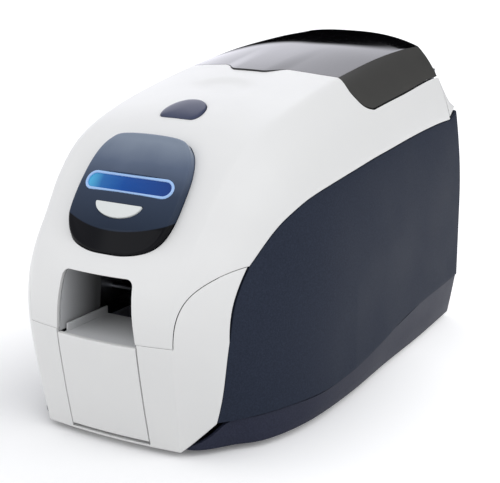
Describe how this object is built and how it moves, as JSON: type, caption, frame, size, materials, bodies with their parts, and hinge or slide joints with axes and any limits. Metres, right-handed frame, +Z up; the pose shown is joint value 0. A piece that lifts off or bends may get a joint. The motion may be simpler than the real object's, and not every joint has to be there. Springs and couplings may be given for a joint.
{
  "type": "id card printer",
  "caption": "Desktop plastic card printer with a hinged lid, smoky feeder cover, sloping control panel, card mouth and lower hopper door.",
  "frame": {"origin": "on the table, at the middle of the outline seen from above", "axes": "-Y is the front with the card mouth, +X the right-hand side as seen from the front, +Z up"},
  "size_m": [0.201, 0.3671, 0.232],
  "materials": {
    "white_shell": "smooth satin moulded plastic",
    "dark_panel": "fine-grained dark slate moulded plastic",
    "base_plastic": "dark moulded plastic",
    "visor_plastic": "smoky polished plastic",
    "panel_gloss": "polished navy plastic",
    "lcd_glass": "clear window over a blue display",
    "ring_blue": "pale blue moulded ring",
    "button_white": "white moulded key",
    "button_slate": "slate moulded key",
    "grey_plastic": "grey moulded plastic",
    "light_plastic": "pale grey moulded plastic",
    "gear_nylon": "natural nylon",
    "black_plastic": "black moulded plastic",
    "red_plastic": "red moulded plastic",
    "foot_rubber": "soft rubber",
    "roller_rubber": "ground rubber on a steel shaft",
    "plate_steel": "zinc-plated sheet steel",
    "pin_steel": "drawn steel",
    "board_green": "glass-fibre circuit board",
    "motor_metal": "black painted steel can"
  },
  "bodies": {
    "base": {"base_tray": "base_plastic", "rubber_feet": "foot_rubber", "front_casing": "white_shell", "side_panel_right": "dark_panel", "side_panel_left": "dark_panel", "rear_panel": "base_plastic", "chassis_right": "plate_steel", "chassis_left": "plate_steel", "chassis_screws": "pin_steel", "tie_rods": "pin_steel", "lid_hinge_pins": "pin_steel", "side_standoffs": "grey_plastic", "door_hinge_pins": "pin_steel", "card_bin": "grey_plastic", "output_tray": "light_plastic", "idler_studs": "pin_steel", "motor": "motor_metal", "card_guides": "grey_plastic", "card_magazine": "light_plastic", "board_spacers": "pin_steel", "main_board": "board_green", "power_inlet": "black_plastic", "usb_socket": "plate_steel", "switch_frame": "black_plastic"},
    "lid": {"lid": "white_shell", "lid_rear_cover": "white_shell", "console_bezel": "panel_gloss", "lcd_ring": "ring_blue", "lcd_window": "lcd_glass", "panel_board": "board_green", "release_guide": "grey_plastic", "lid_pivot_pins": "pin_steel", "lid_frame": "grey_plastic", "loading_deck": "grey_plastic", "mouth_liner": "light_plastic", "head_bracket": "plate_steel", "print_head": "plate_steel", "head_springs": "pin_steel", "ribbon_cartridge": "black_plastic"},
    "feeder_cover": {"feeder_cover": "visor_plastic", "feeder_cover_back": "visor_plastic"},
    "hopper_door": {"hopper_door": "white_shell"},
    "control_button": {"control_button": "button_white"},
    "release_button": {"release_button": "button_slate"},
    "latch": {"latch_bar": "plate_steel"},
    "supply_spool": {"supply_spool": "black_plastic"},
    "takeup_spool": {"takeup_spool": "black_plastic"},
    "exit_roller": {"exit_roller": "roller_rubber"},
    "transport_roller": {"transport_roller": "roller_rubber"},
    "pick_roller": {"pick_roller": "roller_rubber"},
    "platen_roller": {"platen_roller": "roller_rubber"},
    "exit_pinch": {"exit_pinch": "roller_rubber"},
    "transport_pinch": {"transport_pinch": "roller_rubber"},
    "front_idler": {"front_idler": "gear_nylon"},
    "rear_idler": {"rear_idler": "gear_nylon"},
    "large_idler": {"large_idler": "gear_nylon"},
    "motor_pinion": {"motor_pinion": "pin_steel"},
    "card_weight": {"card_weight": "grey_plastic"},
    "card_gate": {"card_gate": "red_plastic"},
    "switch_rocker": {"switch_rocker": "red_plastic"}
  },
  "joints": [
    {"name": "lid_hinge", "type": "hinge", "parent": "base", "child": "lid", "pos_m": [0, 0.1805, 0.178], "axis": [-1, 0, 0], "range_deg": [0, 55]},
    {"name": "feeder_cover_hinge", "type": "hinge", "parent": "lid", "child": "feeder_cover", "pos_m": [0, 0.1645, 0.203], "axis": [-1, 0, 0], "range_deg": [0, 75]},
    {"name": "hopper_door_hinge", "type": "hinge", "parent": "base", "child": "hopper_door", "pos_m": [0, -0.167, 0.0094], "axis": [1, 0, 0], "range_deg": [0, 70]},
    {"name": "control_button_press", "type": "slide", "parent": "lid", "child": "control_button", "axis": [0, 0.7618, -0.6479], "range_m": [0, 0.001], "stiffness_N_per_m": 600, "springref_m": -0.001},
    {"name": "release_button_press", "type": "slide", "parent": "lid", "child": "release_button", "axis": [0, 0.3113, -0.9503], "range_m": [0, 0.0025], "stiffness_N_per_m": 700, "springref_m": -0.0015},
    {"name": "latch_turn", "type": "hinge", "parent": "lid", "child": "latch", "pos_m": [0, -0.099, 0.172], "axis": [-1, 0, 0], "range_deg": [0, 7.8]},
    {"name": "supply_spool_spin", "type": "hinge", "parent": "lid", "child": "supply_spool", "pos_m": [0, -0.015, 0.14], "axis": [1, 0, 0], "continuous": true},
    {"name": "takeup_spool_spin", "type": "hinge", "parent": "lid", "child": "takeup_spool", "pos_m": [0, -0.105, 0.14], "axis": [1, 0, 0], "continuous": true},
    {"name": "platen_spin", "type": "hinge", "parent": "base", "child": "platen_roller", "pos_m": [0, -0.06, 0.1], "axis": [1, 0, 0], "continuous": true},
    {"name": "exit_roller_spin", "type": "hinge", "parent": "base", "child": "exit_roller", "pos_m": [0, -0.116, 0.1], "axis": [1, 0, 0], "continuous": true},
    {"name": "transport_roller_spin", "type": "hinge", "parent": "base", "child": "transport_roller", "pos_m": [0, -0.004, 0.1], "axis": [1, 0, 0], "continuous": true},
    {"name": "pick_roller_spin", "type": "hinge", "parent": "base", "child": "pick_roller", "pos_m": [0, 0.068, 0.1], "axis": [1, 0, 0], "continuous": true},
    {"name": "front_idler_spin", "type": "hinge", "parent": "base", "child": "front_idler", "pos_m": [0, -0.088, 0.1], "axis": [1, 0, 0], "continuous": true},
    {"name": "rear_idler_spin", "type": "hinge", "parent": "base", "child": "rear_idler", "pos_m": [0, -0.032, 0.1], "axis": [1, 0, 0], "continuous": true},
    {"name": "large_idler_spin", "type": "hinge", "parent": "base", "child": "large_idler", "pos_m": [0, 0.032, 0.1], "axis": [1, 0, 0], "continuous": true},
    {"name": "motor_pinion_spin", "type": "hinge", "parent": "base", "child": "motor_pinion", "pos_m": [0, -0.032, 0.078], "axis": [1, 0, 0], "continuous": true},
    {"name": "exit_pinch_spin", "type": "hinge", "parent": "base", "child": "exit_pinch", "pos_m": [0, -0.116, 0.1148], "axis": [1, 0, 0], "continuous": true},
    {"name": "transport_pinch_spin", "type": "hinge", "parent": "base", "child": "transport_pinch", "pos_m": [0, -0.004, 0.1148], "axis": [1, 0, 0], "continuous": true},
    {"name": "card_weight_lift", "type": "slide", "parent": "base", "child": "card_weight", "axis": [0, 0, 1], "range_m": [0, 0.06]},
    {"name": "card_gate_lift", "type": "slide", "parent": "base", "child": "card_gate", "axis": [0, 0, 1], "range_m": [0, 0.0015]},
    {"name": "power_switch_rock", "type": "hinge", "parent": "base", "child": "switch_rocker", "pos_m": [-0.058, 0.1788, 0.058], "axis": [1, 0, 0], "range_deg": [-8, 8]}
  ],
  "couplings": [
    {"joint": "exit_roller_spin", "follows": "platen_spin", "ratio": 1},
    {"joint": "transport_roller_spin", "follows": "platen_spin", "ratio": 1},
    {"joint": "pick_roller_spin", "follows": "platen_spin", "ratio": 1},
    {"joint": "front_idler_spin", "follows": "platen_spin", "ratio": -0.75},
    {"joint": "rear_idler_spin", "follows": "platen_spin", "ratio": -0.75},
    {"joint": "large_idler_spin", "follows": "platen_spin", "ratio": -0.5},
    {"joint": "motor_pinion_spin", "follows": "platen_spin", "ratio": 2},
    {"joint": "exit_pinch_spin", "follows": "platen_spin", "ratio": -1.3333},
    {"joint": "transport_pinch_spin", "follows": "platen_spin", "ratio": -1.3333},
    {"joint": "takeup_spool_spin", "follows": "supply_spool_spin", "ratio": 1.5294},
    {"joint": "latch_turn", "follows": "release_button_press", "rad_per_m": 54}
  ]
}
